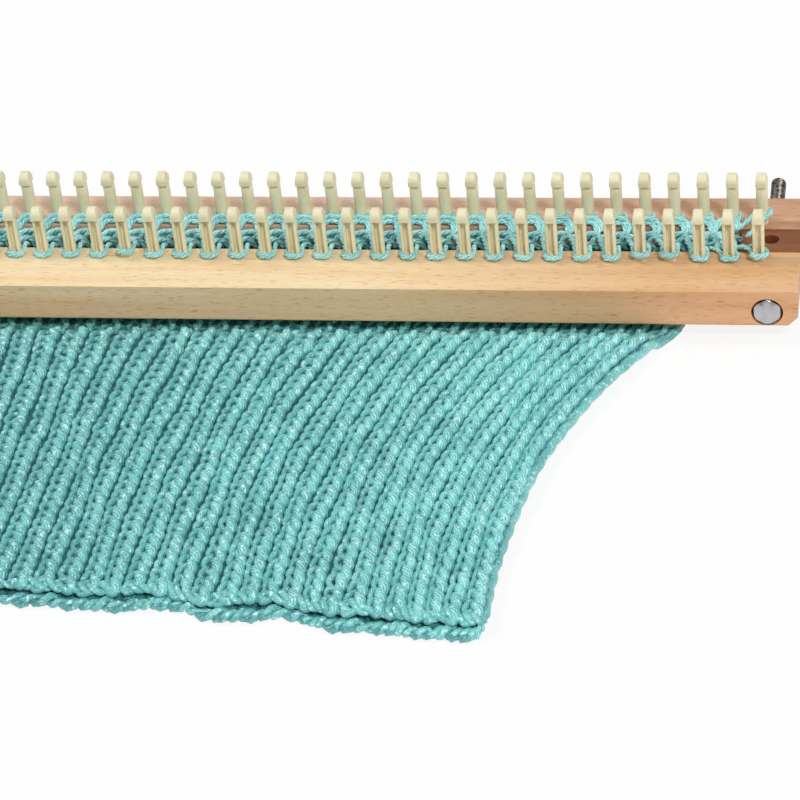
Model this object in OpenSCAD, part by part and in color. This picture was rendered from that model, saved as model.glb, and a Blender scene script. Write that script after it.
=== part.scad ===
// Adjustable two-rail knitting board with a piece of double knitting on its pegs.
// X runs along the rails, Y from front to back, Z up from the table.
// The origin is on the table, midway along the rails and midway between them.

/* [Rails] */
// Width of each rail, front to back
rail_w = 21; // [16:0.5:40]
// Height of each rail at the peg row
rail_h = 14.6; // [12:0.1:30]
// Clear gap between the rails when they are clamped
gap = 14; // [10:0.5:30]
// Radius of the crowned top, which is highest at the peg row
crown_r = 90; // [70:1:300]
// Rounding of the long edges
rail_edge_r = 0.8; // [0.2:0.1:2]
// Bevel of the lower corner at each rail end
end_bevel = 3.5; // [0.5:0.1:4.5]
// Wood past the last peg at each end
end_margin = 13.1; // [12:0.1:40]

/* [Pegs] */
// Pegs on each rail
peg_count = 49; // [5:2:81]
// Distance from peg to peg
peg_pitch = 9.525; // [9:0.005:20]
// Distance of the peg row from the rail's inner face
peg_inset = 4; // [3.5:0.1:8]
// Height of a peg above its rail
peg_h = 18.5; // [14:0.5:40]
// Width of the peg's stem along the rail
peg_w = 3.9; // [3.3:0.05:4.6]
// Depth of the stem from its axis to its flattened outer face
peg_out = 1.5; // [1.4:0.05:1.8]
// Height of the button head
head_h = 4.7; // [4.2:0.1:8]
// Depth of the button head, front to back
head_d = 5.2; // [4:0.1:5.4]
// Width of the head at its crown
head_top_w = 2.9; // [2:0.1:3.3]
// Width of the hook groove in the outer face
groove_w = 1.5; // [0.8:0.05:2]
// Depth of the hook groove
groove_d = 0.8; // [0.3:0.05:1.1]
// Height of the groove's rounded foot above the rail
groove_foot = 1.2; // [0.5:0.1:4]
// Diameter of the shank in the rail
shank_d = 3; // [2:0.1:3.2]
// Length of the shank in the rail, clear of the bolts
shank_len = 5; // [3:0.5:5.5]

/* [Clamp bolts] */
// Thread diameter
bolt_d = 5; // [4:0.5:6]
// Length under the head
bolt_len = 75; // [70:1:120]
// Bolt axis past the last peg
bolt_past_peg = 3.3; // [2:0.1:6]
// Bolt axis above the rail's underside
bolt_rise = 5.3; // [4.8:0.1:6.8]
// Hex head across its flats
hex_af = 8.5; // [7:0.5:8.5]
// Thickness of the hex head
hex_t = 3.5; // [2.5:0.1:4]
// Diameter of the round recess for the head
recess_d = 10.2; // [9.9:0.1:12]
// Depth of the hex face below the rail's front face
recess_sink = 0; // [0:0.1:2]

/* [Spacer blocks] */
// Length of a spacer along the rail
spacer_len = 19.6; // [12:0.2:19.6]
// Top of a spacer below the peg row's level
spacer_drop = 0.4; // [0.3:0.1:2]
// Diameter of the second, upright bolt hole
cross_hole_d = 5.2; // [4:0.1:6]
// Distance of the upright hole from the middle of the gap
cross_hole_y = 1.2; // [0:0.1:2]

/* [Washers and wing nuts] */
// Outer diameter of a washer
washer_d = 10; // [9:0.5:14]
// Thickness of a washer
washer_t = 1; // [0.6:0.1:2]
// Diameter of the nut's hub at the washer
hub_d = 9; // [8:0.1:11]
// Diameter of the hub at its outer end
hub_top_d = 7.2; // [7:0.1:8]
// Height of the hub
hub_h = 6; // [5:0.1:7]
// Span over both wings
wing_span = 21.2; // [19:0.2:23]
// Height of the wings above the washer
wing_h = 8.8; // [8.4:0.1:12]
// Thickness of a wing
wing_t = 1.8; // [1.2:0.1:2.5]
// Radius of a wing's rounded ear
wing_ear_r = 3.1; // [2.6:0.1:3.4]
// Turn of the left nut's wings from level
left_wing_angle = 24; // [0:1:180]
// Turn of the right nut's wings from level
right_wing_angle = 176; // [0:1:180]

/* [Knitting] */
// Thickness of each of the two knitted layers
layer_t = 3; // [2:0.1:6]
// Width of the cast-on edge
cast_on_w = 320; // [120:1:420]
// Length over which the sides widen from there back to the gap
flare_len = 166; // [60:1:200]
// Reach of the lower layer in front of the front rail
reach = 142; // [110:1:260]
// Setback of the upper layer's edge from the lower one
layer_step = 2.5; // [0.5:0.1:6]
// Sag of the cast-on edge at its corners
edge_bow = 11; // [0:0.5:20]
// Thickness of the knitting in the gap
web_t = 7; // [4:0.5:9]
// Height of the row of stitches in the gap above the peg row's level
ridge_h = 2.6; // [2.6:0.1:4]
// Thickness of the yarn in a loop
yarn_d = 1.7; // [1:0.1:1.9]

/* [Clearances] */
// Around a shank, on the radius
shank_clear = 0.05; // [0.02:0.01:0.1]
// Around a bolt in the wood and the washer, on the radius
bolt_clear = 0.25; // [0.1:0.05:0.5]
// Between a bolt and its wing nut, on the radius
thread_clear = 0.05; // [0.02:0.01:0.1]
// Between faces that part when the nuts are loosened
seat_clear = 0.1; // [0.05:0.05:0.3]
// Between the knitting and the pieces around it
yarn_clear = 0.3; // [0.2:0.05:0.5]
// Between the two knitted layers
layer_gap = 0.2; // [0.1:0.05:0.5]

/* [Hidden] */
$fn = 48;

beech = [0.86, 0.70, 0.53];
nylon = [0.89, 0.87, 0.72];
steel = [0.72, 0.72, 0.73];
yarn = [0.37, 0.70, 0.67];

row_half = (peg_count - 1) * peg_pitch / 2;
peg_xs = [for (i = [0 : peg_count - 1]) i * peg_pitch - row_half];
rail_len = 2 * (row_half + end_margin);
rail_z = 2 * layer_t + layer_gap;
peg_z = rail_z + rail_h;
peg_y = gap / 2 + peg_inset;
rail_back_y = gap / 2 + rail_w;
bolt_x = row_half + bolt_past_peg;
bolt_z = rail_z + bolt_rise;
bolt_hole_d = bolt_d + 2 * bolt_clear;
recess_depth = hex_t + recess_sink;
bolt_seat_y = recess_depth - rail_back_y;
bolt_tip = bolt_d / 8;
nut_y = rail_back_y + washer_t + seat_clear;
loop_r = peg_w / 2 + yarn_clear + yarn_d / 2;
loop_z = peg_z + yarn_clear + yarn_d / 2;
web_half = bolt_x - spacer_len / 2 - yarn_clear;
ridge_half = row_half + loop_r + yarn_d / 2;
cut = 1;

// Rail section with its inner face on the line x = 0 and its underside on y = 0
module rail_section() {
    r = rail_edge_r;
    intersection() {
        union() {
            translate([r, 0]) square([rail_w - 2 * r, rail_h]);
            translate([0, r]) square([rail_w, rail_h - r]);
            for (x = [r, rail_w - r]) translate([x, r]) circle(r);
        }
        translate([peg_inset, rail_h - crown_r]) circle(crown_r, $fn = 720);
    }
}

// A rail behind the gap, drilled for its pegs and bolts
module drilled_rail() {
    difference() {
        translate([0, gap / 2, rail_z])
            rotate([90, 0, 90]) linear_extrude(rail_len, center = true) rail_section();
        for (x = peg_xs)
            translate([x, peg_y, peg_z - shank_len])
                cylinder(d = shank_d + 2 * shank_clear, h = shank_len + cut);
        for (side = [-1, 1]) {
            translate([side * bolt_x, gap / 2 - cut, bolt_z])
                rotate([-90, 0, 0]) cylinder(d = bolt_hole_d, h = rail_w + 2 * cut);
            translate([side * rail_len / 2, rail_back_y - rail_w / 2, rail_z])
                rotate([0, 45, 0])
                    cube([end_bevel * sqrt(2), rail_w + 2 * cut, end_bevel * sqrt(2)], center = true);
        }
    }
}

module front_rail() {
    color(beech)
        difference() {
            mirror([0, 1, 0]) drilled_rail();
            for (side = [-1, 1])
                translate([side * bolt_x, -rail_back_y - cut, bolt_z])
                    rotate([-90, 0, 0]) cylinder(d = recess_d, h = recess_depth + cut);
        }
}

module rear_rail() {
    color(beech) drilled_rail();
}

// Stem section: round, with a flat on its outer side
module stem_section() {
    intersection() {
        circle(d = peg_w);
        translate([-peg_w / 2, -peg_w]) square([peg_w, peg_w + peg_out]);
    }
}

// Button head seen along the rail, with a sharp lip under it
module head_profile() {
    r = head_d / 2;
    lip = (head_d - peg_w) / 3;
    translate([0, peg_h - r]) circle(r);
    polygon([
        [-r, peg_h - r], [-r, peg_h - head_h + lip], [-peg_out, peg_h - head_h],
        [peg_out, peg_h - head_h], [r, peg_h - head_h + lip], [r, peg_h - r]
    ]);
}

// Head seen from the front, narrowing to its crown
module head_front() {
    polygon([
        [-peg_w / 2, peg_h - head_h], [peg_w / 2, peg_h - head_h],
        [peg_w / 2, peg_h - head_h / 2], [head_top_w / 2, peg_h], [-head_top_w / 2, peg_h],
        [-peg_w / 2, peg_h - head_h / 2]
    ]);
}

// One moulded peg on the Z axis, with its grooved face towards +Y
module peg() {
    groove_r = groove_w / 2;
    difference() {
        linear_extrude(peg_h - head_h) stem_section();
        translate([-groove_r, peg_out - groove_d, groove_foot + groove_r])
            cube([groove_w, groove_d + cut, peg_h]);
        translate([0, peg_out - groove_d, groove_foot + groove_r])
            rotate([-90, 0, 0]) cylinder(r = groove_r, h = groove_d + cut);
    }
    intersection() {
        rotate([90, 0, 90]) linear_extrude(peg_w, center = true) head_profile();
        rotate([90, 0, 0]) linear_extrude(head_d, center = true) head_front();
    }
    translate([0, 0, -shank_len]) cylinder(d = shank_d, h = shank_len);
}

module peg_row() {
    for (x = peg_xs) translate([x, peg_y, peg_z]) peg();
}

module front_pegs() {
    color(nylon) mirror([0, 1, 0]) peg_row();
}

module rear_pegs() {
    color(nylon) peg_row();
}

// Hex bolt pointing back, its head seated in the front rail's recess
module bolt(x) {
    color(steel)
        translate([x, bolt_seat_y, bolt_z]) rotate([-90, 0, 0]) {
            cylinder(d = bolt_d, h = bolt_len - bolt_tip);
            translate([0, 0, bolt_len - bolt_tip])
                cylinder(d1 = bolt_d, d2 = bolt_d - 2 * bolt_tip, h = bolt_tip);
            intersection() {
                translate([0, 0, -hex_t]) cylinder(d = hex_af / cos(30), h = hex_t, $fn = 6);
                translate([0, 0, -hex_t]) cylinder(d1 = hex_af, d2 = hex_af + 4 * hex_t, h = hex_t);
            }
        }
}

module left_bolt() {
    bolt(-bolt_x);
}

module right_bolt() {
    bolt(bolt_x);
}

// Wood block between the rails, bored both ways so that it can be turned for another gap
module spacer(x) {
    height = rail_h - spacer_drop;
    color(beech)
        difference() {
            translate([x - spacer_len / 2, -gap / 2, rail_z])
                cube([spacer_len, gap - seat_clear, height]);
            translate([x, -gap / 2 - cut, bolt_z])
                rotate([-90, 0, 0]) cylinder(d = bolt_hole_d, h = gap + 2 * cut);
            translate([x, cross_hole_y, rail_z - cut])
                cylinder(d = cross_hole_d, h = height + 2 * cut);
        }
}

module left_spacer() {
    spacer(-bolt_x);
}

module right_spacer() {
    spacer(bolt_x);
}

module washer(x) {
    color(steel)
        translate([x, rail_back_y, bolt_z]) rotate([-90, 0, 0])
            difference() {
                cylinder(d = washer_d, h = washer_t);
                translate([0, 0, -cut]) cylinder(d = bolt_hole_d, h = washer_t + 2 * cut);
            }
}

module left_washer() {
    washer(-bolt_x);
}

module right_washer() {
    washer(bolt_x);
}

// Outline of both wings, with the hub's axis on the line x = 0 and the washer on y = 0
module wing_outline() {
    ear_x = wing_span / 2 - wing_ear_r;
    ear_y = wing_h - wing_ear_r;
    for (side = [0, 1]) mirror([side, 0]) {
        translate([ear_x, ear_y]) circle(wing_ear_r);
        polygon([
            [0, hub_h / 8], [hub_d / 2, hub_h / 8], [ear_x + wing_ear_r * sin(60), ear_y - wing_ear_r / 2],
            [ear_x - wing_ear_r / 2, ear_y + wing_ear_r * sin(60)], [0, hub_h - hub_h / 8]
        ]);
    }
}

module wing_nut(x, angle) {
    color(steel)
        translate([x, nut_y, bolt_z]) rotate([-90, 0, 0]) rotate([0, 0, -angle])
            difference() {
                union() {
                    cylinder(d1 = hub_d, d2 = hub_top_d, h = hub_h);
                    rotate([90, 0, 0]) linear_extrude(wing_t, center = true) wing_outline();
                }
                translate([0, 0, -cut])
                    cylinder(d = bolt_d + 2 * thread_clear, h = wing_h + 2 * cut);
            }
}

module left_wing_nut() {
    wing_nut(-bolt_x, left_wing_angle);
}

module right_wing_nut() {
    wing_nut(bolt_x, right_wing_angle);
}

// Knitting that hangs in the gap, under a ridge of stitches as long as the peg row
module knit_web() {
    ridge_r = ridge_h - yarn_clear - yarn_d;
    ridge_z = peg_z - spacer_drop + yarn_clear;
    color(yarn) {
        translate([-web_half, -web_t / 2, rail_z]) cube([2 * web_half, web_t, rail_h]);
        translate([-ridge_half, 0, 0]) rotate([90, 0, 90]) linear_extrude(2 * ridge_half) {
            translate([-web_t / 2, ridge_z]) square([web_t, peg_z + ridge_h - ridge_r - ridge_z]);
            translate([ridge_r - web_t / 2, ridge_z]) square([web_t - 2 * ridge_r, peg_z + ridge_h - ridge_z]);
            for (y = [ridge_r - web_t / 2, web_t / 2 - ridge_r])
                translate([y, peg_z + ridge_h - ridge_r]) circle(ridge_r);
        }
    }
}

// Half width of the knitting at a distance in front of its back end, under the gap
function half_width(d) =
    cast_on_w / 2 + (web_half - cast_on_w / 2) * pow(max(0, 1 - d / flare_len), 2);

// Across a layer: share of the edge radius past the flat part, and share of the half thickness
edge_steps = [[1, 0.25], [0.9, 0.55], [0.6, 0.85]];
flat_cells = 12;

// Points over the top of one row, from left to right: x and share of the half thickness
function row_points(w, r) = concat(
    [for (s = edge_steps) [-(w - r + r * s[0]), s[1]]],
    [for (i = [0 : flat_cells]) [(w - r) * (2 * i / flat_cells - 1), 1]],
    [for (i = [len(edge_steps) - 1 : -1 : 0]) [w - r + r * edge_steps[i][0], edge_steps[i][1]]]
);

// Rows from back to front: distance from the back end and share of the half thickness
flat_rows = 14;
function layer_rows(length, r) = concat(
    [for (s = edge_steps) [r - r * s[0], s[1]]],
    [for (i = [0 : flat_rows]) [r + (length - 2 * r) * i / flat_rows, 1]],
    [for (i = [len(edge_steps) - 1 : -1 : 0]) [length - r + r * edge_steps[i][0], edge_steps[i][1]]]
);

// One flat knitted layer with rounded edges, from under the gap to its bowed cast-on edge
module knit_layer(z, front_reach) {
    r = layer_t / 2;
    back_y = web_t / 2;
    length = back_y + rail_back_y + front_reach;
    rows = layer_rows(length, r);
    across = len(row_points(1, 0));
    ring = 2 * across;
    last = len(rows) - 1;
    points = [
        for (row = rows)
            let (y = back_y - row[0], w = half_width(row[0]), bow = edge_bow * pow(row[0] / length, 2))
                for (side = [1, -1])
                    for (i = [0 : across - 1])
                        let (p = row_points(w, r)[side > 0 ? i : across - 1 - i])
                            [p[0], y - bow * pow(p[0] / w, 2), z + r + side * r * p[1] * row[1]]
    ];
    walls = [
        for (j = [0 : last - 1])
            for (i = [0 : ring - 1])
                let (a = j * ring + i, b = j * ring + (i + 1) % ring)
                    for (f = [[a, b, b + ring], [a, b + ring, a + ring]]) f
    ];
    ends = [
        for (i = [0 : across - 2])
            let (t = i, u = i + 1, v = ring - 2 - i, w = ring - 1 - i, e = last * ring)
                for (f = [[t, w, u], [u, w, v], [e + t, e + u, e + w], [e + u, e + v, e + w]]) f
    ];
    color(yarn) polyhedron(points, concat(walls, ends));
}

module knit_upper_layer() {
    knit_layer(layer_t + layer_gap, reach - layer_step);
}

module knit_lower_layer() {
    knit_layer(0, reach);
}

// Loops round the outer faces of a row of pegs, with both legs running in to the gap
module stitch_row(leg_end_y) {
    for (x = peg_xs)
        translate([x, peg_y, loop_z]) {
            rotate_extrude(angle = 180) translate([loop_r, 0]) circle(d = yarn_d);
            for (side = [-1, 1])
                translate([side * loop_r, 0, 0])
                    rotate([90, 0, 0]) cylinder(d = yarn_d, h = peg_y - leg_end_y);
        }
}

module front_stitches() {
    color(yarn) mirror([0, 1, 0]) stitch_row(web_t / 2);
}

module rear_stitches() {
    color(yarn) stitch_row(web_t / 2 + yarn_clear);
}

front_rail();
rear_rail();
front_pegs();
rear_pegs();
left_bolt();
right_bolt();
left_spacer();
right_spacer();
left_washer();
right_washer();
left_wing_nut();
right_wing_nut();
knit_web();
knit_upper_layer();
knit_lower_layer();
front_stitches();
rear_stitches();
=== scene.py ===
import bpy
import math
import numpy as np
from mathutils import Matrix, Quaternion, Vector


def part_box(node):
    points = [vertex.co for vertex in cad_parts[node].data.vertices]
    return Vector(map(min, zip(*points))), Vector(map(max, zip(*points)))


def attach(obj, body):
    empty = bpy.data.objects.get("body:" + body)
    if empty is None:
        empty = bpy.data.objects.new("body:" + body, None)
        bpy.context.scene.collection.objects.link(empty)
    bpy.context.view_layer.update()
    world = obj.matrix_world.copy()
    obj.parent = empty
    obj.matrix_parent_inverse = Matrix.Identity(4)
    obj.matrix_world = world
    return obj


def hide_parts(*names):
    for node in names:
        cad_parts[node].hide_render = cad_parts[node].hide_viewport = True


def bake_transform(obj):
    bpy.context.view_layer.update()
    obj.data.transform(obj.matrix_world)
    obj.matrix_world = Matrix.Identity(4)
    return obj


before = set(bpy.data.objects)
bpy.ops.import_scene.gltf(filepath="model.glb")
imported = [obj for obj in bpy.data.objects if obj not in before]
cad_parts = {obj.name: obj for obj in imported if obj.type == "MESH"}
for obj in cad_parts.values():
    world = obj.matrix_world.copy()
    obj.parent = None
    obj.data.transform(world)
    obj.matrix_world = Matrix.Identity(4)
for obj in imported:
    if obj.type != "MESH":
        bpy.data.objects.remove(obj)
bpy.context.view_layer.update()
mm = 0.001
rng = np.random.default_rng(23)
print("frame loaded:", len(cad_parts), "nodes")

# sizes from the frame, in mm, and the spacing of the pegs
pegHigh = np.array(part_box("front_pegs")[1]) / mm
railLow, railHigh = (np.array(c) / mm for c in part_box("front_rail"))
board = {
    "pegCount": 49,
    "pegWidth": 3.9,        # stem along the rail
    "pegInset": 4.0,        # from the rail's inner face to the peg row
    "railTop": railHigh[2],
    "railFront": railLow[1],
    "gapHalf": -railHigh[1],
    "pegHeight": pegHigh[2] - railHigh[2],
}
board["rowHalf"] = pegHigh[0] - board["pegWidth"] / 2
board["pegY"] = board["gapHalf"] + board["pegInset"]
pegX = np.linspace(-board["rowHalf"], board["rowHalf"], board["pegCount"])


def srgb(red, green, blue):
    # picture colour, 0 to 255, as scene-linear colour
    c = np.array([red, green, blue]) / 255.0
    linear = np.where(c <= 0.04045, c / 12.92, ((c + 0.055) / 1.055) ** 2.4)
    return (*linear.tolist(), 1.0)


def smooth(x):
    # 0 to 1 with a soft start and end
    x = np.clip(x, 0.0, 1.0)
    return x * x * (3.0 - 2.0 * x)


# Materials

fullWhite = (1, 1, 1, 1)


def newMaterial(name, **sockets):
    # plain values go on the shader's own sockets, named with _ for a space
    mat = bpy.data.materials.new(name)
    mat.use_nodes = True
    shader = mat.node_tree.nodes["Principled BSDF"]
    for socket, value in sockets.items():
        shader.inputs[socket.replace("_", " ")].default_value = value
    return mat, shader


def addNode(mat, kind, settings=None, **sockets):
    # a node whose sockets take either a value or another node's output
    made = mat.node_tree.nodes.new("ShaderNode" + kind)
    for key, value in (settings or {}).items():
        setattr(made, key, value)
    for key, value in sockets.items():
        socket = made.inputs[int(key[1:])] if key[0] == "i" and key[1:].isdigit() else made.inputs[key]
        if isinstance(value, bpy.types.NodeSocket):
            mat.node_tree.links.new(value, socket)
        else:
            socket.default_value = value
    return made


def addRamp(mat, factor, stops):
    # colour over a factor, straight from stop to stop
    ramp = addNode(mat, "ValToRGB", Fac=factor)
    while len(ramp.color_ramp.elements) < len(stops):
        ramp.color_ramp.elements.new(0.5)
    for element, (place, colour) in zip(ramp.color_ramp.elements, stops):
        element.position = place
        element.color = colour
    return ramp.outputs["Color"]


def addMix(mat, blend, factor, a, b):
    # colour b laid over colour a by a factor
    mix = addNode(mat, "Mix", {"data_type": "RGBA", "blend_type": blend}, i0=factor, i6=a, i7=b)
    return mix.outputs[2]


def addBump(mat, shader, height, strength, depth):
    # fine relief in the shading, its depth in metres
    bump = addNode(mat, "Bump", Height=height, Strength=strength, Distance=depth)
    mat.node_tree.links.new(bump.outputs["Normal"], shader.inputs["Normal"])


beech = {
    "streaks": (7, 190, 190),         # about how many there are to the metre, along each axis
    "flecks": (260, 2100, 2100),
    "fleckTone": srgb(226, 188, 150),
    "fleckShare": 0.8,
    # colour of the right end: partly the wood's own tone, partly painted shade
    "rightEndToneAndShade": srgb(236, 213, 197),
    "warmFrom": 0.13,                 # metres to the right of the middle
    "warmTo": 0.235,
    "warmWaver": 0.06,
    "sideShadeTone": srgb(250, 236, 233),  # upright faces are painted redder and darker, as painted shade
}


def beechMaterial(name, pale, mid, dark, turn=0.0):
    # long growth streaks along the rail, fine ray flecks across them, darker and warmer towards the right
    # end partly as painted shade, and painted shade on the upright faces
    mat, shader = newMaterial(name, Roughness=0.46)
    place = addNode(mat, "TexCoord").outputs["Object"]
    streakMap = addNode(mat, "Mapping", Vector=place, Rotation=(0, 0, turn), Scale=beech["streaks"])
    streak = addNode(mat, "TexNoise", Vector=streakMap.outputs[0], Scale=1.0, Detail=6.0, Distortion=0.5)
    fleckMap = addNode(mat, "Mapping", Vector=place, Rotation=(0, 0, turn), Scale=beech["flecks"])
    fleck = addNode(mat, "TexNoise", Vector=fleckMap.outputs[0], Scale=1.0, Detail=2.0)
    colour = addRamp(mat, streak.outputs["Fac"], [(0.28, dark), (0.50, mid), (0.70, pale)])
    spots = addRamp(mat, fleck.outputs["Fac"], [(0.56, fullWhite), (0.74, beech["fleckTone"])])
    colour = addMix(mat, "MULTIPLY", beech["fleckShare"], colour, spots)
    along = addNode(mat, "SeparateXYZ", Vector=place).outputs["X"]
    shadeDrift = addNode(mat, "Math", {"operation": "MULTIPLY_ADD"},
                    i0=streak.outputs["Fac"], i1=beech["warmWaver"], i2=along)
    # partly the wood's own tone, partly painted shade for light that falls off to the right: darker and
    # warmer towards the right end
    toneAndShadeStops = [(beech["warmFrom"], fullWhite), (beech["warmTo"], beech["rightEndToneAndShade"])]
    toneAndShadeRamp = addRamp(mat, shadeDrift.outputs[0], toneAndShadeStops)
    colour = addMix(mat, "MULTIPLY", 1.0, colour, toneAndShadeRamp)
    facing = addNode(mat, "NewGeometry").outputs["Normal"]
    upright = addNode(mat, "SeparateXYZ", Vector=facing).outputs["Z"]
    # painted shade: upright faces painted redder and darker than the top
    sideShade = addRamp(mat, upright, [(0.2, beech["sideShadeTone"]), (0.7, fullWhite)])
    colour = addMix(mat, "MULTIPLY", 1.0, colour, sideShade)
    mat.node_tree.links.new(colour, shader.inputs["Base Color"])
    addBump(mat, shader, fleck.outputs["Fac"], 0.10, 0.0002)
    return mat


nylon = {
    "dull": srgb(232, 222, 184),
    "pale": srgb(245, 236, 203),
}


def nylonMaterial():
    # moulded cream nylon, a little cloudy, with faint flow marks
    mat, shader = newMaterial("pegNylon", Roughness=0.42, Subsurface_Weight=0.10,
                              Subsurface_Radius=(0.9, 0.8, 0.5), Subsurface_Scale=0.0004)
    place = addNode(mat, "TexCoord").outputs["Object"]
    cloud = addNode(mat, "TexNoise", Vector=place, Scale=140.0, Detail=3.0)
    colour = addRamp(mat, cloud.outputs["Fac"], [(0.30, nylon["dull"]), (0.70, nylon["pale"])])
    mat.node_tree.links.new(colour, shader.inputs["Base Color"])
    grain = addNode(mat, "TexNoise", Vector=place, Scale=2600.0, Detail=2.0)
    addBump(mat, shader, grain.outputs["Fac"], 0.08, 0.0001)
    return mat


def steelMaterial(name, dull, bright, smoothest, roughest, grain):
    # zinc plate with fine scuffs
    mat, shader = newMaterial(name, Metallic=1.0)
    place = addNode(mat, "TexCoord").outputs["Object"]
    cloud = addNode(mat, "TexNoise", Vector=place, Scale=grain, Detail=5.0)
    colour = addRamp(mat, cloud.outputs["Fac"], [(0.35, dull), (0.65, bright)])
    rough = addNode(mat, "MapRange", Value=cloud.outputs["Fac"])
    rough.inputs["To Min"].default_value = smoothest
    rough.inputs["To Max"].default_value = roughest
    mat.node_tree.links.new(colour, shader.inputs["Base Color"])
    mat.node_tree.links.new(rough.outputs[0], shader.inputs["Roughness"])
    addBump(mat, shader, cloud.outputs["Fac"], 0.06, 0.0001)
    return mat


yarn = {
    "plyPitch": 1.15 * mm,   # along the strand, from one ply line to the next
    "plyWaver": 0.8,         # share of a pitch by which the ply lines stray
    "plies": 3,              # in a loop on the pegs
    "plyOut": 0.52,          # from the strand's middle to a ply's middle, in strand radii
    "plyRadius": 0.55,       # in strand radii
    "plySides": 6,
    "lay": 6.5,              # length in which the plies of a loop wind once round each other
    "leastShown": 0.25,      # share of the ply lines that shows where fuzz covers them
    "patchTone": srgb(190, 218, 220),
    "patchShare": 0.8,
    "bump": 0.35 * mm,
    "floorGap": 0.05,        # yarn on the table keeps this far off it
    "crestShare": 0.4,       # how much a strand's height over its layer counts in crest
    "crestFrom": -0.4,       # crest is 0 at this height and 1 a run higher
    "crestRun": 2.0,
}
# painted shade: darker towards the left, by metres to the right, then darker where the yarn lies low, by
# crest
leftShadeStops = [(0.02, (0.68, 0.78, 0.79, 1)), (0.085, (0.80, 0.88, 0.88, 1)), (0.15, fullWhite)]
lowShadeStops = [(0.0, (0.32, 0.46, 0.48, 1)), (0.5, (0.68, 0.78, 0.79, 1)), (0.9, fullWhite)]
knitFinish = {
    "along": 1.0,            # ply lines met in one pitch along the strand
    "round": -8.0,           # ply lines met going once round it, below 0 where they lean to the left
    "relief": 1.0,           # share of the ply lines that shows at most, in colour and bump
    "shadeDrift": 1.0,            # share of the painted shade that darkens the knitting towards the left
    "groove": srgb(82, 182, 185),
    "flank": srgb(144, 242, 240),
    "ridge": srgb(206, 255, 251),
    "paintedGlint": srgb(204, 255, 252),
}
edgeFinish = {**knitFinish, "relief": 0.35, "groove": srgb(62, 150, 152), "flank": srgb(124, 216, 213)}
# the same yarn painted paler for the loops and the strands across the gap: painted highlight
litLoopFinish = {
    "along": 0.5,
    "round": -3.0,
    "relief": 0.6,
    "shadeDrift": 0.0,
    "groove": srgb(84, 176, 180),
    "flank": srgb(170, 244, 244),
    "ridge": srgb(248, 255, 255),
    "paintedGlint": srgb(200, 252, 250),
}


def yarnMaterial(name, finish):
    # plies wind round the strand: their phase is along * length / pitch + round * turns, from the UV
    mat, shader = newMaterial(name, Roughness=0.38, Specular_IOR_Level=1.0, Sheen_Weight=0.1,
                              Sheen_Roughness=0.4, Subsurface_Weight=0.12,
                              Subsurface_Radius=(1.0, 1.0, 1.0), Subsurface_Scale=0.0008)
    coord = addNode(mat, "TexCoord")
    phase = addNode(mat, "VectorMath", {"operation": "DOT_PRODUCT"}, i0=coord.outputs["UV"])
    phase.inputs[1].default_value = (finish["along"], finish["round"], 0.0)
    wander = addNode(mat, "TexNoise", Vector=coord.outputs["Object"], Scale=500.0, Detail=2.0)
    shifted = addNode(mat, "Math", {"operation": "MULTIPLY_ADD"},
                      i0=wander.outputs["Fac"], i1=yarn["plyWaver"])
    mat.node_tree.links.new(phase.outputs["Value"], shifted.inputs[2])
    ply = addNode(mat, "Math", {"operation": "PINGPONG"}, i0=shifted.outputs[0], i1=0.5)
    # ply lines: the yarn's twist drawn as painted shade in the grooves between plies and painted highlight
    # on their ridges, strongest on the strand's upper side
    stops = [(0.05, finish["groove"]), (0.22, finish["flank"]), (0.42, finish["ridge"])]
    fuzz = addNode(mat, "TexNoise", Vector=coord.outputs["Object"], Scale=270.0, Detail=2.0)
    reach = {"From Min": 0.36, "From Max": 0.60, "To Min": yarn["leastShown"], "To Max": finish["relief"]}
    clear = addNode(mat, "MapRange", Value=fuzz.outputs["Fac"], **reach)  # fuzz hides plies in places
    crest = addNode(mat, "Attribute", {"attribute_name": "crest"}).outputs["Fac"]
    shown = addNode(mat, "Math", {"operation": "MULTIPLY"}, i0=clear.outputs[0], i1=crest)
    colour = addMix(mat, "MIX", shown.outputs[0], finish["flank"], addRamp(mat, ply.outputs[0], stops))
    patch = addNode(mat, "TexNoise", Vector=coord.outputs["Object"], Scale=110.0, Detail=4.0)
    tint = addRamp(mat, patch.outputs["Fac"], [(0.34, yarn["patchTone"]), (0.62, fullWhite)])
    colour = addMix(mat, "MULTIPLY", yarn["patchShare"], colour, tint)
    along = addNode(mat, "SeparateXYZ", Vector=coord.outputs["Object"]).outputs["X"]
    leftShade = addRamp(mat, along, leftShadeStops)
    colour = addMix(mat, "MULTIPLY", finish["shadeDrift"], colour, leftShade)  # painted shade: darker towards the left, paler towards the right
    deep = addRamp(mat, crest, lowShadeStops)
    colour = addMix(mat, "MULTIPLY", 1.0, colour, deep)  # painted shade: darker where the yarn lies low
    # painted glints: pale flecks where the yarn lies high
    paintedGlint = addNode(mat, "TexNoise", Vector=coord.outputs["Object"], Scale=800.0, Detail=1.0)
    bright = addRamp(mat, paintedGlint.outputs["Fac"], [(0.56, (0, 0, 0, 1)), (0.70, fullWhite)])
    pale = addNode(mat, "Math", {"operation": "MULTIPLY"}, i0=bright, i1=crest)
    colour = addMix(mat, "MIX", pale.outputs[0], colour, finish["paintedGlint"])  # painted glints: pale flecks on the upper side
    mat.node_tree.links.new(colour, shader.inputs["Base Color"])
    addBump(mat, shader, ply.outputs[0], finish["relief"], yarn["bump"])
    return mat


def groundMaterial():
    # a dark sheet for the inside of the knitting, as painted shade
    mat, shader = newMaterial("shadedYarnInside", Roughness=0.8)
    place = addNode(mat, "TexCoord").outputs["Object"]
    cloud = addNode(mat, "TexNoise", Vector=place, Scale=600.0, Detail=3.0)
    colour = addRamp(mat, cloud.outputs["Fac"], [(0.3, srgb(44, 102, 103)), (0.7, srgb(72, 138, 138))])
    mat.node_tree.links.new(colour, shader.inputs["Base Color"])
    return mat


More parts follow.
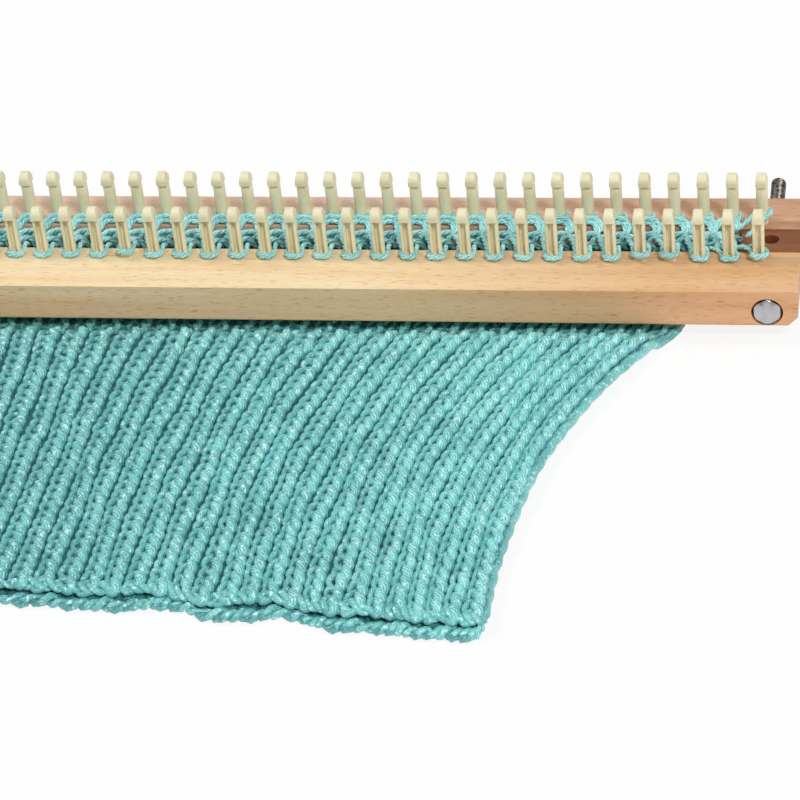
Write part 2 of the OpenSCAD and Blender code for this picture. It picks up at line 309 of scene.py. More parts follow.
railBeech = beechMaterial("railBeech", srgb(252, 230, 192), srgb(246, 219, 175), srgb(236, 200, 152))
# the spacer blocks' beech with its grain turned, painted dark brown: painted shade down between the rails
shadedBlockBeech = beechMaterial("shadedBlockBeech", srgb(156, 110, 76), srgb(144, 97, 64), srgb(124, 79, 51),
                           turn=math.pi / 2)
# the rear rail's beech, painted darker and pinker than the front rail's: painted shade
shadedRearBeech = beechMaterial("shadedRearBeech", srgb(240, 210, 184), srgb(230, 198, 170), srgb(212, 178, 149))
pegNylon = nylonMaterial()
zincSteel = steelMaterial("zincSteel", srgb(180, 179, 181), srgb(194, 192, 193), 0.22, 0.34, 420.0)
threadSteel = steelMaterial("threadSteel", srgb(52, 48, 46), srgb(148, 141, 134), 0.28, 0.46, 950.0)
knitYarn = yarnMaterial("knitYarn", knitFinish)
edgeYarn = yarnMaterial("edgeYarn", edgeFinish)
litLoopYarn = yarnMaterial("litLoopYarn", litLoopFinish)
shadedYarnInside = groundMaterial()
print("materials made")


# Meshes

def gridPiece(name, grid, material, wrap=True, uv=None, crest=None):
    # grid is (copies, stations, ring, xyz) in mm: each copy is a surface over station and ring number
    copies, stations, ring, _ = grid.shape
    index = np.arange(copies * stations * ring).reshape(copies, stations, ring)
    nextRing = np.roll(index, -1, axis=2) if wrap else index[:, :, 1:]
    thisRing = index if wrap else index[:, :, :-1]
    quads = np.stack([thisRing[:, :-1], thisRing[:, 1:], nextRing[:, 1:], nextRing[:, :-1]], -1)
    quads = quads.reshape(-1, 4)
    loops = [quads.ravel()]
    sizes = [np.full(len(quads), 4)]
    if wrap:
        ends = np.concatenate([index[:, 0, :], index[:, -1, ::-1]])
        loops.append(ends.ravel())
        sizes.append(np.full(len(ends), ring))
    loops, sizes = np.concatenate(loops), np.concatenate(sizes)
    mesh = bpy.data.meshes.new(name)
    mesh.vertices.add(grid.size // 3)
    mesh.vertices.foreach_set("co", (grid * mm).astype(np.float32).ravel())
    mesh.loops.add(len(loops))
    mesh.loops.foreach_set("vertex_index", loops.astype(np.int32))
    mesh.polygons.add(len(sizes))
    mesh.polygons.foreach_set("loop_start", (np.cumsum(sizes) - sizes).astype(np.int32))
    mesh.update(calc_edges=True)
    mesh.polygons.foreach_set("use_smooth", np.ones(len(sizes), bool))
    if uv is not None:  # uv is (copies, stations, ring + 1, 2), so that the seam closes
        corner = np.stack([uv[:, :-1, :-1], uv[:, 1:, :-1], uv[:, 1:, 1:], uv[:, :-1, 1:]], -2)
        corner = corner.reshape(-1, 2)
        flat = np.zeros((len(loops), 2), np.float32)
        flat[:len(corner)] = corner
        mesh.uv_layers.new(name="strand").data.foreach_set("uv", flat.ravel())
    if crest is not None:
        values = mesh.attributes.new("crest", "FLOAT", "POINT").data
        values.foreach_set("value", crest.astype(np.float32).ravel())
    mesh.validate()
    piece = bpy.data.objects.new(name, mesh)
    bpy.context.scene.collection.objects.link(piece)
    piece.data.materials.append(material)
    return piece


def unit(v):
    # the same direction at length 1
    return v / np.maximum(np.linalg.norm(v, axis=-1, keepdims=True), 1e-9)


def carriedFrames(paths):
    # a normal carried along each path without twist: each step drops what points along the new tangent
    tangent = unit(np.gradient(paths, axis=1))
    seed = np.where(np.abs(tangent[:, :1, 2:]) > 0.8, [1.0, 0.0, 0.0], [0.0, 0.0, 1.0])
    normal = np.zeros_like(paths)
    normal[:, 0] = unit(np.cross(np.cross(tangent[:, 0], seed[:, 0]), tangent[:, 0]))
    for k in range(1, paths.shape[1]):
        kept = normal[:, k - 1]
        normal[:, k] = unit(kept - tangent[:, k] * (kept * tangent[:, k]).sum(-1, keepdims=True))
    return tangent, normal


def pathLength(paths):
    # length from the start of each path to each of its stations
    step = np.linalg.norm(np.diff(paths, axis=1), axis=-1)
    return np.concatenate([np.zeros((len(paths), 1)), np.cumsum(step, axis=1)], axis=1)


def strandPiece(name, paths, radius, sides, material=None, up=None, height=None):
    # a ring of the strand's radius carried along each path (copies, stations, xyz)
    # crest goes from 0 to 1 with a point's height in the strand and, less, the strand's over the layer
    if up is None:
        tangent, normal = carriedFrames(paths)
    else:
        tangent = unit(np.gradient(paths, axis=1))
        normal = up
    side = unit(np.cross(tangent, normal))
    normal = np.cross(side, tangent)
    angle = np.arange(sides) * 2 * math.pi / sides
    ring = np.cos(angle)[:, None] * side[:, :, None, :] + np.sin(angle)[:, None] * normal[:, :, None, :]
    radius = np.broadcast_to(np.asarray(radius, float), paths.shape[:2])
    grid = paths[:, :, None, :] + radius[:, :, None, None] * ring
    grid[..., 2] = np.maximum(grid[..., 2], yarn["floorGap"])  # pressed flat on the table
    along = pathLength(paths) * mm / yarn["plyPitch"]
    around = np.arange(sides + 1) / sides
    uv = np.stack(np.broadcast_arrays(along[:, :, None], around[None, None, :]), -1)
    crest = np.ones(grid.shape[:3])
    if height is not None:
        above = yarn["crestShare"] * height[..., None] + radius[..., None] * np.sin(angle)
        crest = np.clip((above - yarn["crestFrom"]) / yarn["crestRun"], 0, 1)
    return gridPiece(name, grid, material or knitYarn, uv=uv, crest=crest)


def pliedPiece(name, paths, radius):
    # plies wound round each path: the middle of each goes once round the path in one lay
    tangent, normal = carriedFrames(paths)
    side = unit(np.cross(tangent, normal))
    radius = np.broadcast_to(np.asarray(radius, float), paths.shape[:2])
    start = np.arange(yarn["plies"])[:, None, None] / yarn["plies"]
    turns = 2 * math.pi * (pathLength(paths)[None] / yarn["lay"] + start)
    aside = np.cos(turns)[..., None] * side + np.sin(turns)[..., None] * normal
    plies = (paths[None] + yarn["plyOut"] * radius[None, ..., None] * aside).reshape(-1, *paths.shape[1:])
    thick = np.tile(yarn["plyRadius"] * radius, (yarn["plies"], 1))
    return strandPiece(name, plies, thick, yarn["plySides"], litLoopYarn)


def splinePaths(knots, perSpan):
    # a Catmull-Rom curve through each row of knots (copies, knots, xyz)
    first = 2 * knots[:, :1] - knots[:, 1:2]
    last = 2 * knots[:, -1:] - knots[:, -2:-1]
    p = np.concatenate([first, knots, last], axis=1)
    t = (np.arange(perSpan) / perSpan)[None, None, :, None]
    a, b, c, d = (p[:, k:p.shape[1] - 3 + k, None, :] for k in range(4))
    bend = (2 * a - 5 * b + 4 * c - d) * t ** 2
    curve = 0.5 * (2 * b + (c - a) * t + bend + (3 * b - a - 3 * c + d) * t ** 3)
    return np.concatenate([curve.reshape(len(knots), -1, 3), knots[:, -1:]], axis=1)


# Pegs: horizontal sections stacked from the rail to the crown

peg = {
    "stemHalf": 1.95,       # along the rail
    "outer": 1.5,           # flattened outer face
    "outerFlat": 5,         # the higher, the flatter that face
    "inner": 1.75,          # rounded inner face
    "headHalf": 2.6,        # front to back
    "crownHalf": 1.45,      # along the rail at the top
    "crownEnd": 0.5,        # drawn in at the very top
    "headHeight": 4.0,
    "headBox": 5.0,         # the higher, the boxier the head
    "headStraight": 1.2,    # height at which the head begins to narrow
    "lip": 0.12,
    "neck": 0.14,           # share by which the stem is drawn in under the head
    "neckFrom": 0.8,        # below the head
    "neckRun": 0.7,
    "sunk": 1.5,            # the stem starts this far down in the rail
    "grooveHalf": 0.85,
    "grooveDepth": 1.8,
    "grooveWall": 0.08,     # sideways slope of the groove's sides
    "grooveFoot": 1.2,
    "stemStations": (4.5, 7.5, 10.5),   # heights of the sections between foot and neck
    "innerSteps": 16,
    "sharpAngle": 50.0,     # edges that turn by more than this stay crisp, in degrees
}


def pegAngles():
    # round the section from the right over the outer face and back along the inner one,
    # closest together at the groove's sides
    wall = peg["grooveHalf"] + np.array([1.0, 0.5, -0.5]) * peg["grooveWall"]
    rib = np.linspace(0, np.arccos(wall[0] / peg["stemHalf"]), 8)
    quarter = np.concatenate([rib, np.arccos(np.array([*wall[1:], 0.3]) / peg["stemHalf"])])
    inner = np.arange(1, peg["innerSteps"]) / peg["innerSteps"]
    return np.concatenate([quarter, math.pi - quarter[::-1], math.pi * (1 + inner)])


def pegGrid():
    # width and depth over height: an oval with one flat side at the stem, a boxy superellipse at the head
    top = board["pegHeight"]
    under = top - peg["headHeight"]
    middle = top - peg["headHalf"]
    grooveLow = peg["grooveFoot"]
    overLip = under + peg["lip"]
    dome = middle + peg["headHalf"] * np.sin(np.linspace(0.12, 1.0, 9) * math.pi / 2)
    z = np.concatenate([[-peg["sunk"], 0.0, 0.6], np.linspace(grooveLow, grooveLow + 1.1, 6),
                        peg["stemStations"],
                        [under - peg["neckFrom"], under - 0.3, under - 0.04, under],
                        [overLip, overLip + 0.05, overLip + 0.25, under + peg["headStraight"], middle],
                        dome])
    head = smooth((z - under) / peg["lip"])
    rise = np.clip((z - middle) / peg["headHalf"], 0, 1)
    depth = peg["headHalf"] * np.sqrt(np.maximum(1 - rise ** 2, 1e-4))
    narrowing = smooth((z - under - peg["headStraight"]) / (top - under - peg["headStraight"]))
    halfX = peg["stemHalf"] - (peg["stemHalf"] - peg["crownHalf"]) * narrowing
    halfX = halfX - peg["crownEnd"] * np.clip((rise - 0.93) / 0.07, 0, 1)
    drawnIn = smooth((z - under + peg["neckFrom"]) / peg["neckRun"])
    neck = (1 - peg["neck"] * drawnIn * (1 - head))[:, None]
    angle = pegAngles()
    c, s = np.cos(angle), np.sin(angle)
    power = (2.0 / (2.0 + peg["headBox"] * head))[:, None]
    x = halfX[:, None] * np.sign(c) * np.abs(c) ** power
    outer = peg["outer"] * (1 - np.abs(c) ** peg["outerFlat"]) ** (1 / peg["outerFlat"])
    stemOut = np.where(s > 0, outer, peg["inner"] * np.abs(s))
    y = (1 - head[:, None]) * neck * stemOut + head[:, None] * depth[:, None] * np.abs(s) ** power
    y = y * np.sign(s)
    foot = np.clip((grooveLow + peg["grooveHalf"] - z) / peg["grooveHalf"], 0, 1)
    grooveHalf = peg["grooveHalf"] * np.sqrt(1 - foot ** 2)[:, None]
    aboveFoot = (z > grooveLow - 0.05)[:, None]
    opened = np.clip((grooveHalf - np.abs(x)) / peg["grooveWall"] + 0.5, 0, 1) * aboveFoot
    groove = np.where(s > 0, peg["grooveDepth"] * opened * (1 - head[:, None]), 0)
    return np.stack([neck * x, y - groove, np.broadcast_to(z[:, None], x.shape)], -1)


def pegSpots(facing):
    # where each peg of a row stands on its rail
    y = np.full_like(pegX, facing * board["pegY"])
    return np.stack([pegX, y, np.full_like(pegX, board["railTop"])], -1)


def pegRow(name, node, body, facing):
    # the same peg at every spot, turned so that its groove faces away from the gap
    one = pegGrid()
    if facing < 0:
        one = one[:, ::-1] * [1, -1, 1]
    piece = gridPiece(name, (pegSpots(facing)[:, None, None, :] + one[None])[:, ::-1], pegNylon)
    piece.data.set_sharp_from_angle(angle=math.radians(peg["sharpAngle"]))
    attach(piece, body)
    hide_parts(node)


pegRow("frontPegs", "front_pegs", "board", -1)
pegRow("rearPegs", "rear_pegs", "rear_bar", 1)
print("pegs moulded")


# Clamp bolts with their threads

bolt = {
    "radius": 2.5,
    "pitch": 0.8,
    "threadDepth": 0.42,
    "toothSlope": 2.6,
    "toothFlat": 0.3,
    "hexFlat": 8.5,
    "hexHeight": 3.5,
    "coneSlope": 1.75,      # bevel round the face of the head
    "tipLength": 0.9,
    "tipDrop": 0.7,         # the end is this much thinner
    "tipRadius": 1.75,
    "pole": 0.02,           # radius at which each end is closed
    "ring": 36,
}


def boltGrid(node):
    # thread: the radius falls by a triangle wave of the turn plus the length
    # head: the radius is that of a hexagon under a cone
    low, high = (np.array(c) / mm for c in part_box(node))
    axisX = (low[0] + high[0]) / 2
    axisZ = (low[2] + high[2]) / 2
    angle = np.arange(bolt["ring"]) * 2 * math.pi / bolt["ring"]
    apart = np.abs((angle + math.pi / 6) % (math.pi / 3) - math.pi / 6)
    hexagon = bolt["hexFlat"] / 2 / np.cos(apart)
    seat = low[1] + bolt["hexHeight"]
    headY = np.array([0, 0.0, 0.12, 0.3, 0.6, bolt["hexHeight"] - 0.02, bolt["hexHeight"]])
    cone = bolt["hexFlat"] / 2 - 0.05 + bolt["coneSlope"] * headY
    headR = np.minimum(hexagon[None], cone[:, None])
    headR[0] = bolt["pole"]
    headR[-1] = bolt["radius"]
    shankY = np.arange(seat + 0.1, high[1], bolt["pitch"] / 6)
    phase = shankY[:, None] / bolt["pitch"] + angle[None] / (2 * math.pi)
    tooth = np.clip(np.abs((phase % 1.0) - 0.5) * bolt["toothSlope"] - bolt["toothFlat"], 0, 1)
    shankR = bolt["radius"] - bolt["threadDepth"] * tooth
    taper = np.clip((high[1] - shankY) / bolt["tipLength"], 0, 1)[:, None]
    shankR = np.minimum(shankR, bolt["radius"] - bolt["tipDrop"] * (1 - taper))
    y = np.concatenate([low[1] + headY, shankY, [high[1], high[1]]])
    ends = np.repeat([[bolt["tipRadius"]], [bolt["pole"]]], bolt["ring"], axis=1)
    r = np.concatenate([headR, shankR, ends])
    along = np.broadcast_to(y[:, None], r.shape)
    return np.stack([axisX + r * np.cos(angle), along, axisZ - r * np.sin(angle)], -1)


for side in ("left", "right"):
    piece = gridPiece(side + "ThreadedBolt", boltGrid(side + "_bolt")[None], zincSteel)
    piece.data.materials.append(threadSteel)
    centres = np.zeros(len(piece.data.polygons) * 3)
    piece.data.polygons.foreach_get("center", centres)
    behind = centres.reshape(-1, 3)[:, 1] > 0.0  # the rear half takes the darker steel
    piece.data.polygons.foreach_set("material_index", behind.astype(np.int32))
    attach(piece, "board")
    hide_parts(side + "_bolt")
print("bolts threaded")


# Knitting: rows of loops laid on two layers that hang in the gap and turn forward under the front rail

knit = {
    "wales": board["pegCount"],     # columns of stitches
    "row": 4.3,
    "firstRow": 0.62,       # rows from the edge to the first one
    "spareRows": 0.6,       # rows left free at the pegs
    "strand": 1.27,
    "sway": 0.19,           # sideways swing of a leg, in wale widths
    "loopHalf": 3.5,        # half the height of a loop
    "lift": 0.85,           # legs stand this far in front of the heads
    "sinkerRise": 0.60,     # the yarn between two wales lies higher than the heads
    "fatLeg": 0.26,         # share by which the left leg is thicker, and the right one thinner
    "legTilt": 0.56,        # the left leg stands higher than the right one
    "swell": 0.12,          # share by which a leg is thicker halfway up
    "stagger": 0.36,        # every other wale sits this share of a row higher, and the rest lower
    "crowding": 0.10,       # wales stand closer towards the sides
    "tuckRun": 0.3,         # wales over which a row's yarn thins out at the sides
    "tuckLeast": 0.25,
    "shakeAside": 0.03,     # unevenness: in wales, then in mm onward and up, then as a share of the radius
    "shakeOnward": 0.25,
    "shakeUp": 0.12,
    "shakeThick": 0.06,
    "wander": [(0.4, 17.0, 0.9), (0.3, 7.3, 2.1)],  # swing, run and turn to a wale of the columns' straying
    "steadySide": 0.4,      # the outermost columns stray less
    "castOnHalf": 158.4,
    "flare": 65.5,
    "flarePower": 2.3,
    "flareLength": 166.0,
    "flareFrom": 3.5,       # the flare is measured forward from here
    "widest": 220.5,
    "bow": 10.5,            # the corners of the cast-on edge lie this far in front of its middle
    "settle": 20.0,         # past the bend, length over which the sides round off and the press sets in
    "edgeTurn": 2.6,        # radius of the rounded sides
    "corner": 4.4,          # radius of the corners of the cast-on edge
    "edgeReach": 36.0,      # the cast-on edge waves this far into the knitting
    "edgeShift": 2.0,       # the two layers' waves stand apart
    "edgeLift": 0.35,
    "edgeLiftRun": 15.0,
    "pressFrom": 7.0,       # the rail starts to press this far in front of its face
    "pressRun": 8.0,
    "pressThin": 0.35,      # share by which pressed yarn is thinner
    "pressFlat": 0.45,      # share by which pressed loops are lower
    "flatGauge": 7.3,       # wale width of the knitting laid flat
    "sheetInset": 0.35,     # the sheet behind the loops starts this many wales from the side
    "sheetFrom": 1.0,       # and this far from the cast-on edge
    "sheetShort": 2,        # and stops this far short of the pegs
    "sheetAcross": 99,      # points of its grid
    "sheetAlong": 61,
}
upperLayer = {
    "name": "upper",
    "node": "knit_upper_layer",
    "level": 4.3,           # height of the layer's middle over the table
    "face": 1,              # the loops face up, or down at -1
    "press": 1.0,           # share of the loops' height that is left
    "dip": 3.9,             # the rail presses the layer down by this
    "ground": -0.2,         # height of the sheet behind the loops
    "gapY": -4.4,           # where it hangs in the gap
    "turn": 3.6,            # radius of the bend from the gap to the table
    "gapTop": 20.0,
    "reach": -164.6,
    "perStitch": 24,
    "sides": 6,
    "bands": 5,             # pieces that the rows are made in
}
lowerLayer = {
    "name": "lower",
    "node": "knit_lower_layer",
    "level": 1.65,
    "face": -1,
    "press": 0.4,
    "dip": 1.4,
    "ground": -0.4,
    "gapY": 1.2,
    "turn": 6.5,
    "gapTop": 20.0,
    "reach": -167.7,
    "perStitch": 12,
    "sides": 5,
    "bands": 2,
}


def halfWidth(y):
    # narrow cast-on edge that widens as a power of the distance towards the rail
    rise = np.clip(1 - (knit["flareFrom"] - y) / knit["flareLength"], 0, 1)
    return np.minimum(knit["castOnHalf"] + knit["flare"] * rise ** knit["flarePower"], knit["widest"])


def layerLength(layer):
    # straight down the gap, a quarter turn, then straight forward
    drop = layer["gapTop"] - layer["level"] - layer["turn"]
    bend = layer["turn"] * math.pi / 2
    return drop, bend, layer["gapY"] - layer["turn"] - layer["reach"]


edgeWaves = {
    "pulled": 1.4,
    "deep": (2.6, 60.5, 6.4, 82.0, 30.0),   # height, crest and run of a wave, middle and width of its bell
    "tail": (1.4, 140.0, 9.0),              # height, middle and width of a bulge near the right corner
    "long": [(0.6, 11.0, 0.8), (0.5, 27.0, 0.0)],   # height, run and start of each long wave
}


def edgeWave(x):
    # how far the cast-on edge is pulled forward: long waves, and on the right a short one under a bell
    high, crest, run, middle, width = edgeWaves["deep"]
    deep = high * np.cos((x - crest) / run) * np.exp(-((x - middle) / width) ** 2)
    high, middle, width = edgeWaves["tail"]
    pulled = edgeWaves["pulled"] - deep + high * np.exp(-((x - middle) / width) ** 2)
    for high, run, start in edgeWaves["long"]:
        pulled = pulled - high * np.sin(x / run + start)
    return pulled


def onLayer(layer, u, v, lift):
    # u is the wale, v the distance from the cast-on edge, lift the height over the layer's middle
    # the place goes down the gap, round a quarter turn and forward, with rounded sides and a waved edge
    drop, bend, run = layerLength(layer)
    q = drop + bend + run - v
    phi = np.clip((q - drop) / layer["turn"], 0, math.pi / 2)
    y = layer["gapY"] - layer["turn"] * (1 - np.cos(phi)) - np.maximum(q - drop - bend, 0)
    z = layer["gapTop"] - np.minimum(q, drop) - layer["turn"] * np.sin(phi)
    turned = np.stack([np.zeros_like(phi), -np.cos(phi), np.sin(phi)], -1) * layer["face"]
    half = halfWidth(y)
    half = half + (knit["widest"] - half) * smooth(1 - q / drop)  # nearly as wide as the row of pegs
    flat = smooth((q - drop - bend) / knit["settle"])
    r = knit["edgeTurn"]
    w = 2 * u / knit["wales"] - 1
    c = ((1 + knit["crowding"]) * w - knit["crowding"] * w ** 3) * (half + flat * r * (math.pi / 2 - 1))
    wander = sum(swing * np.sin(v / length + u * turn) for swing, length, turn in knit["wander"])
    c = c + wander * (1 - knit["steadySide"] * w ** 8)
    psi = np.clip((np.abs(c) - (half - r)) / r, 0, math.pi / 2) * flat
    x = np.where(psi > 0, np.sign(c) * (half - r + r * np.sin(psi)), c)
    z = z - layer["face"] * r * (1 - np.cos(psi))
    outwards = np.stack([np.sign(c), 0 * c, 0 * c], -1)
    normal = turned * np.cos(psi)[..., None] + outwards * np.sin(psi)[..., None]
    share = np.clip(q / (drop + bend + run), 0, 1.1)
    y = y - knit["bow"] * share ** 2 * (x / half) ** 2
    near = smooth(1 - v / knit["edgeReach"])
    y = y - near * edgeWave(x + knit["edgeShift"] * (layer["face"] + 1))
    atCorner = np.clip((np.abs(x) - half) / knit["corner"] + 1, 0, 1)
    y = y + near * knit["corner"] * (1 - np.sqrt(1 - atCorner ** 2))
    ripple = knit["edgeLift"] * np.sin(x / knit["edgeLiftRun"]) + knit["edgeLift"]
    z = z + near * (layer["face"] > 0) * ripple
    pressed = smooth((y - board["railFront"] + knit["pressFrom"]) / knit["pressRun"]) * flat
    z = z - layer["dip"] * pressed
    lifted = normal * (lift * layer["press"] * (1 - knit["pressFlat"] * pressed))[..., None]
    return np.stack([x, y, z], -1) + lifted, normal, pressed


def knitBand(layer, first, last):
    # one strand per row: x swings as sin 2t, the place in the row goes as cos t, legs rise as -cos 2t
    per = layer["perStitch"]
    t = np.arange(knit["wales"] * per + 1) * 2 * math.pi / per + math.pi
    cell = np.arange(len(t)) / per
    rows = np.arange(first, last)
    wave = rng.normal(0, 1, (3, len(rows), knit["wales"] + 1))
    atWale = np.arange(knit["wales"] + 1)
    aside, onward, fuller = (np.stack([np.interp(cell, atWale, w) for w in kind]) for kind in wave)
    u = np.clip(cell + knit["sway"] * np.sin(2 * t) + knit["shakeAside"] * aside, 0, knit["wales"])
    v = (rows[:, None] + knit["firstRow"]) * knit["row"] + knit["loopHalf"] * np.cos(t)
    v = v + knit["shakeOnward"] * onward
    v = v + knit["stagger"] * knit["row"] * np.cos(math.pi * (u - 0.5))
    lift = -knit["lift"] * np.cos(2 * t) - knit["sinkerRise"] * np.cos(t) - knit["legTilt"] * np.sin(t)
    lift = lift + knit["shakeUp"] * fuller
    paths, normals, pressed = onLayer(layer, u, v, lift)
    thick = 1 - knit["fatLeg"] * np.sin(t) - knit["swell"] * np.cos(2 * t) + knit["shakeThick"] * fuller
    radius = knit["strand"] * thick * (1 - knit["pressThin"] * pressed)
    fromSide = np.minimum(cell, knit["wales"] - cell)
    radius = radius * smooth(fromSide / knit["tuckRun"] + knit["tuckLeast"])
    name = layer["name"] + "KnitBand" + str(first)
    return strandPiece(name, paths, radius, layer["sides"], up=normals, height=lift)


castOn = {
    "strand": 1.05,
    "perWale": 16,
    "sides": 8,
    "middle": 0.4,          # of the chain, from the edge
    "out": 1.1,             # swing of each strand forward and back, and up and down
    "up": 0.9,
    "raised": 0.4,          # the upper chain lies this much higher
    "tuckRun": 0.8,
    "tuckLeast": 0.3,
    "uneven": [(0.10, 2.3, 0.0), (0.08, 5.1, 1.0)],   # height, rate and start of the swelling along it
    "slip": [(1.1, 1.7, 0.0), (0.8, 0.73, 1.0)],    # height, rate and start of the turn's unevenness
}


def castOnChain(layer):
    # two strands laid round each other along the cast-on edge, about one turn to a wale, unevenly
    u = np.linspace(0.0, knit["wales"], knit["wales"] * castOn["perWale"] + 1)
    uneven = sum(high * np.sin(rate * u + start) for high, rate, start in castOn["uneven"])
    turn = 2 * math.pi * (u[None] + np.array([[0.0], [0.5]]))
    for high, rate, start in castOn["slip"]:
        turn = turn + high * np.sin(rate * u + start)
    fromSide = np.minimum(u, knit["wales"] - u)
    thick = castOn["strand"] * (1 + uneven) * smooth(fromSide / castOn["tuckRun"] + castOn["tuckLeast"])
    v = castOn["middle"] + (castOn["out"] + 2 * uneven) * np.cos(turn) + 4 * uneven
    lift = (castOn["up"] + 2 * uneven) * np.sin(turn) + (layer["face"] > 0) * castOn["raised"]
    paths, normals, _ = onLayer(layer, np.broadcast_to(u, turn.shape), v, lift / layer["press"])
    return strandPiece(layer["name"] + "CastOnChain", paths, thick, castOn["sides"], edgeYarn, normals)


selvedge = {
    "strand": 1.5,
    "sides": 8,
    "from": 2.0,            # from the cast-on edge
    "short": 12.0,          # of the pegs
    "step": 0.5,
    "halfTurns": 0.6,       # to a row
    "inwards": 0.22,        # wales from the side
    "swing": 0.06,
    "up": 0.5,
    "sunk": 0.2,
}


def selvedges(layer):
    # two strands laid round each other down each side, three turns to ten rows
    v = np.arange(selvedge["from"], sum(layerLength(layer)) - selvedge["short"], selvedge["step"])
    begin = np.array([0.0, math.pi, 0.5, math.pi + 0.5])[:, None]
    turn = selvedge["halfTurns"] * math.pi * v / knit["row"] + begin
    inwards = selvedge["inwards"] + selvedge["swing"] * np.cos(turn)
    u = np.where(np.arange(4)[:, None] < 2, inwards, knit["wales"] - inwards)
    lift = selvedge["up"] * np.sin(turn) - selvedge["sunk"]
    paths, normals, _ = onLayer(layer, u, np.broadcast_to(v, u.shape), lift)
    name = layer["name"] + "Selvedges"
    return strandPiece(name, paths, selvedge["strand"], selvedge["sides"], edgeYarn, normals)


def groundSheet(layer):
    # the middle surface of the layer itself, on a plain grid, set back behind the loops
    wale = np.linspace(knit["sheetInset"], knit["wales"] - knit["sheetInset"], knit["sheetAcross"])
    end = sum(layerLength(layer)) - knit["sheetShort"]
    u, v = np.meshgrid(wale, np.linspace(knit["sheetFrom"], end, knit["sheetAlong"]))
    surface, _, _ = onLayer(layer, u, v, np.full_like(u, layer["ground"] / layer["press"]))
    surface[..., 2] = np.maximum(surface[..., 2], yarn["floorGap"])
    if layer["face"] > 0:
        surface = surface[:, ::-1]
    return gridPiece(layer["name"] + "Ground", surface[None], shadedYarnInside, wrap=False)


def knitLayer(layer):
    # bands of rows, the cast-on chain, the upper layer's sides and the sheet behind them
    rows = int(sum(layerLength(layer)) / knit["row"] - knit["spareRows"])
    cuts = np.linspace(0, rows, layer["bands"] + 1).astype(int)
    pieces = [knitBand(layer, a, b) for a, b in zip(cuts[:-1], cuts[1:])]
    pieces.append(castOnChain(layer))
    if layer["face"] > 0:
        pieces.append(selvedges(layer))
    ground = groundSheet(layer)
    for piece in [*pieces, ground]:
        if layer["face"] > 0:
            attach(piece, "board")
        else:
            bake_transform(piece)
    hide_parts(layer["node"], "knit_web")
    print(layer["name"], "layer knitted:", rows, "rows")


knitLayer(upperLayer)
knitLayer(lowerLayer)


# Loops on the pegs and the strands that cross the gap

loop = {
    "frontStrand": 0.98,
    "rearStrand": 0.92,
    "arcStrand": 0.92,
    "riddenUp": (3, 17, 26, 44, 45, 48),  # pegs whose front loop sits higher
    "rideUp": 1.2,
    "leanFrom": 205.0,      # past here the loops lean in, as the knitting is narrower than the peg row
    "leanIn": 7.5,
    "leanStart": 1.0,       # distance behind the peg at which the lean starts
    "leanRun": 6.0,
    "thinBeside": 0.22,     # share by which the front loops are thinner beside and behind the peg
    "perSpan": 5,           # stations from knot to knot
    "gapPerSpan": 8,
    "frontShake": 0.10,     # unevenness of the knots
    "rearShake": 0.12,
    "arcShake": 0.14,
    "gapShake": 0.25,
}


def pegKnots(points, facing, shake):
    # the same knots at every peg, x along the rail, y outwards from the peg, z above the rail
    knots = np.array(points, float)[None] + rng.normal(0, shake, (board["pegCount"], len(points), 3))
    past = smooth((np.abs(pegX) - loop["leanFrom"]) / (board["rowHalf"] - loop["leanFrom"]))
    lean = loop["leanIn"] * np.sign(pegX) * past
    knots[..., 0] -= lean[:, None] * np.clip(-(knots[..., 1] + loop["leanStart"]) / loop["leanRun"], 0, 1)
    return pegSpots(facing)[:, None, :] + knots * [1, facing, 1]


def frontLoops():
    # up from the gap on the left, round the outer face and down on the right
    knots = [(-1.4, -10.4, -3.4), (-1.8, -6.5, -0.6), (-2.25, -3.6, 1.2), (-2.5, -0.6, 1.45),
             (-2.1, 1.75, 1.35), (0.0, 2.5, 1.25), (2.1, 1.75, 1.35), (2.5, -0.6, 1.5),
             (2.25, -3.6, 1.4), (1.9, -6.5, -0.2), (1.5, -10.4, -3.2)]
    placed = pegKnots(knots, -1, loop["frontShake"])
    placed[list(loop["riddenUp"]), 2:-2, 2] += loop["rideUp"]
    paths = splinePaths(placed, loop["perSpan"])
    beside = smooth(4 * np.abs(np.linspace(-1, 1, paths.shape[1])) - 0.4)
    piece = pliedPiece("frontLoops", paths, loop["frontStrand"] * (1 - loop["thinBeside"] * beside))
    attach(piece, "board")
    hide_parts("front_stitches")


def rearLoops():
    # as the front loops, but slanted, and the last one is pulled up its peg
    knots = [(-3.2, -6.0, -0.5), (-2.8, -3.6, 0.9), (-2.45, -0.5, 1.6), (-1.9, 1.7, 1.6),
             (0.0, 2.4, 1.5), (1.9, 1.7, 1.7), (2.45, -0.4, 2.3), (2.6, -2.4, 2.2),
             (3.1, -5.0, 0.8), (3.0, -8.0, -1.0)]
    placed = pegKnots(knots, 1, loop["rearShake"])
    placed[-1, :, 2] += (0.0, 0.4, 1.6, 2.0, 1.8, 2.0, 1.8, 1.0, 0.4, 0.0)
    piece = pliedPiece("rearLoops", splinePaths(placed, loop["perSpan"]), loop["rearStrand"])
    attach(piece, "rear_bar")
    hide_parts("rear_stitches")


